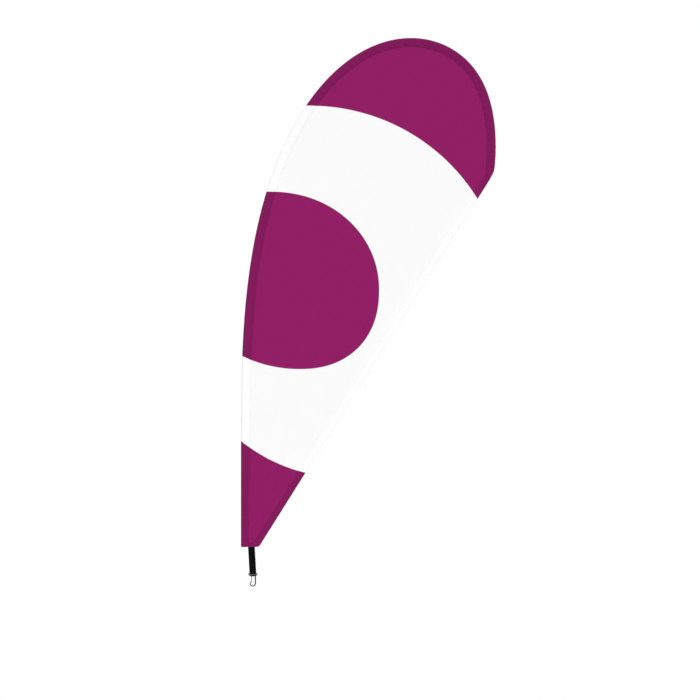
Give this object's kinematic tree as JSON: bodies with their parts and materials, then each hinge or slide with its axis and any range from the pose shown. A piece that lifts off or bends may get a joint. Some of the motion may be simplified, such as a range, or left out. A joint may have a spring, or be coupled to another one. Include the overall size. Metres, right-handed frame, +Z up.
{
  "type": "teardrop flag",
  "caption": "Printed cloth teardrop flag on a sectional bent pole in its sleeve, with a hanging webbing strap and a gated snap hook.",
  "frame": {"origin": "centre of the pole's lower end, where it stands on a ground spigot", "axes": "+Z up along the straight part of the pole, +X towards the straight edge of the cloth, -Y towards the viewer"},
  "size_m": [0.9226, 0.0178, 1.9859],
  "materials": {
    "printed_cloth": "dye-printed knitted polyester in magenta purple and white",
    "webbing": "black woven polypropylene webbing",
    "dark_alloy": "dark grey plated zinc casting",
    "bright_steel": "bright steel wire and pin",
    "pole_metal": "drawn aluminium tube",
    "glass_fibre": "black pultruded glass fibre",
    "black_plastic": "moulded black nylon"
  },
  "bodies": {
    "pole_foot": {"base_tube": "pole_metal", "base_bush": "black_plastic"},
    "flag": {"seat_collar": "pole_metal", "pole_lower": "glass_fibre", "pole_middle": "glass_fibre", "pole_upper": "glass_fibre", "pole_tip": "glass_fibre", "ferrule_lower": "pole_metal", "ferrule_middle": "pole_metal", "ferrule_upper": "pole_metal", "tip_cap": "black_plastic", "pole_sleeve": "printed_cloth", "mouth_band": "printed_cloth", "nose_pocket": "printed_cloth", "flag_panel": "printed_cloth", "leech_hem": "printed_cloth", "bottom_hem": "printed_cloth", "hem_patch": "printed_cloth", "strap_tab": "webbing"},
    "strap": {"hook_strap": "webbing"},
    "hook": {"hook_body": "dark_alloy", "gate_pin": "bright_steel", "gate_spring": "bright_steel"},
    "gate": {"hook_gate": "dark_alloy"}
  },
  "joints": [
    {"name": "flag_lift", "type": "slide", "parent": "pole_foot", "child": "flag", "axis": [0, 0, 1], "range_m": [0, 0.4]},
    {"name": "strap_swing", "type": "hinge", "parent": "flag", "child": "strap", "pos_m": [0.029, 0.0028, -0.007], "axis": [1, 0, 0], "range_deg": [-75, 75]},
    {"name": "hook_swing", "type": "hinge", "parent": "strap", "child": "hook", "pos_m": [0.0342, 0.0028, -0.1015], "axis": [1, 0, 0], "range_deg": [-85, 85]},
    {"name": "gate_pivot", "type": "hinge", "parent": "hook", "child": "gate", "pos_m": [0.0298, 0.0028, -0.11], "axis": [0, -1, 0], "range_deg": [0, 22], "stiffness_Nm_per_rad": 0.03, "springref_deg": -17.19, "deforming": ["gate_spring"]}
  ]
}
